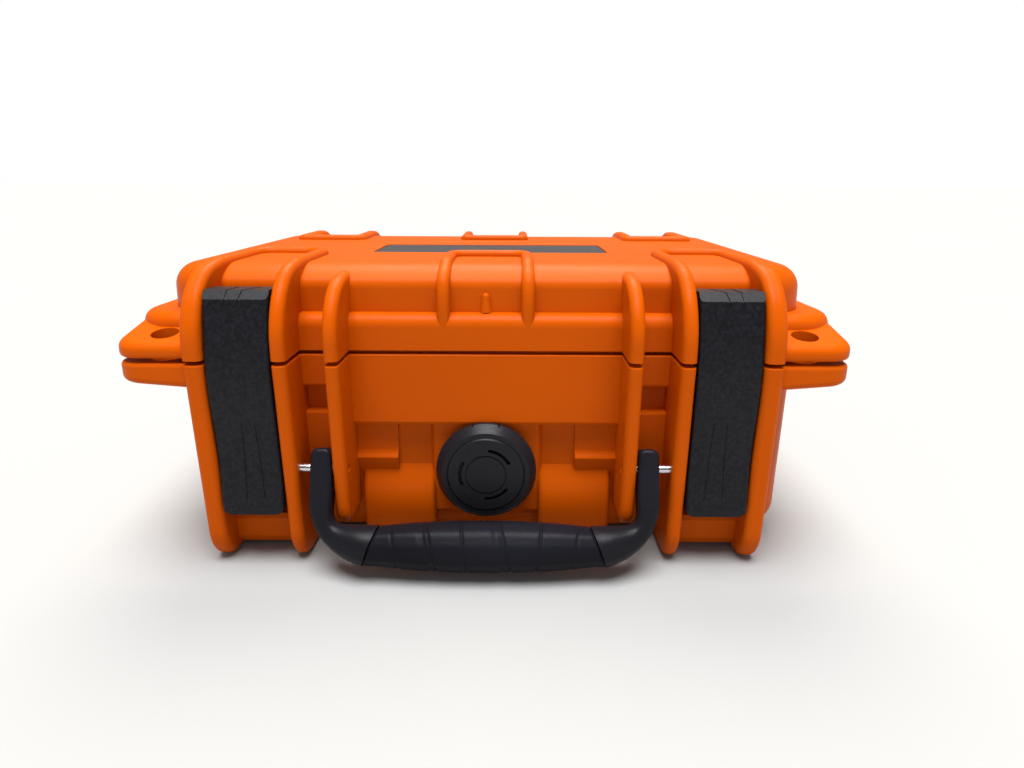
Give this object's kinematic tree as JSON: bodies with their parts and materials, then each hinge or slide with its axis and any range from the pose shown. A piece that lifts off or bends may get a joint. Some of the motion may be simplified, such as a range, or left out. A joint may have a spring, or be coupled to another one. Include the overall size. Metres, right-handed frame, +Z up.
{
  "type": "drone carrying case",
  "caption": "Hard-shell protective carrying case with a hinged lid, draw latches, a folding handle, a pressure valve, lock eyes and a foam interior for a drone.",
  "frame": {"origin": "middle of the case's outline, on the surface that it stands on", "axes": "+X to the right seen from the front, +Y to the hinge side at the rear, +Z up"},
  "size_m": [0.272, 0.2265, 0.1163],
  "materials": {
    "shell_plastic": "fine-textured moulded polypropylene, orange",
    "latch_plastic": "sparkle-textured moulded plastic, black",
    "handle_plastic": "moulded plastic, black",
    "grip_rubber": "soft overmoulded grip, black",
    "valve_plastic": "moulded plastic, black",
    "plate_plastic": "smooth satin plate, dark grey",
    "seal_rubber": "smooth seal rubber, black",
    "steel": "bright drawn pin",
    "foam": "open-cell polyurethane foam, charcoal"
  },
  "bodies": {
    "base": {"base_shell": "shell_plastic", "foam_left": "foam", "foam_right": "foam", "foam_rear": "foam", "foam_front_left": "foam", "foam_front_right": "foam", "foam_over_valve": "foam", "foam_behind_valve": "foam", "foam_divider_long": "foam", "foam_divider_cross": "foam", "foam_divider_batteries": "foam", "foam_divider_charger": "foam", "foam_floor_drone": "foam", "foam_floor_controller": "foam", "foam_floor_battery_rear": "foam", "foam_floor_battery_front": "foam", "foam_floor_charger": "foam", "base_foam_pad": "foam", "hinge_pin_left": "steel", "hinge_pin_right": "steel", "link_pin_left": "steel", "link_pin_right": "steel", "handle_pin_left": "steel", "handle_pin_right": "steel", "valve_body": "valve_plastic", "valve_oring": "seal_rubber", "valve_membrane": "valve_plastic", "valve_nut": "valve_plastic"},
    "lid": {"lid_shell": "shell_plastic", "lid_gasket": "seal_rubber", "name_plate": "plate_plastic", "lid_foam": "foam"},
    "link_left": {"latch_link_left": "latch_plastic"},
    "link_right": {"latch_link_right": "latch_plastic"},
    "latch_left": {"latch_left": "latch_plastic", "latch_pin_left": "steel"},
    "latch_right": {"latch_right": "latch_plastic", "latch_pin_right": "steel"},
    "handle": {"handle_frame": "handle_plastic", "handle_grip": "grip_rubber"},
    "valve_knob": {"valve_knob": "valve_plastic", "valve_cap": "valve_plastic"}
  },
  "joints": [
    {"name": "lid_hinge", "type": "hinge", "parent": "base", "child": "lid", "pos_m": [0, 0.1059, 0.082], "axis": [-1, 0, 0], "range_deg": [0, 105]},
    {"name": "link_left_swing", "type": "hinge", "parent": "base", "child": "link_left", "pos_m": [-0.0886, -0.0866, 0.032], "axis": [1, 0, 0], "range_deg": [0, 80]},
    {"name": "latch_left_rock", "type": "hinge", "parent": "link_left", "child": "latch_left", "pos_m": [-0.0886, -0.0887, 0.052], "axis": [1, 0, 0], "range_deg": [0, 6]},
    {"name": "link_right_swing", "type": "hinge", "parent": "base", "child": "link_right", "pos_m": [0.0886, -0.0866, 0.032], "axis": [1, 0, 0], "range_deg": [0, 80]},
    {"name": "latch_right_rock", "type": "hinge", "parent": "link_right", "child": "latch_right", "pos_m": [0.0886, -0.0887, 0.052], "axis": [1, 0, 0], "range_deg": [0, 6]},
    {"name": "handle_swing", "type": "hinge", "parent": "base", "child": "handle", "pos_m": [0, -0.0926, 0.0395], "axis": [-1, 0, 0], "range_deg": [0, 110]},
    {"name": "valve_turn", "type": "hinge", "parent": "base", "child": "valve_knob", "pos_m": [0, -0.0841, 0.0342], "axis": [0, -1, 0], "range_deg": [0, 90]}
  ]
}
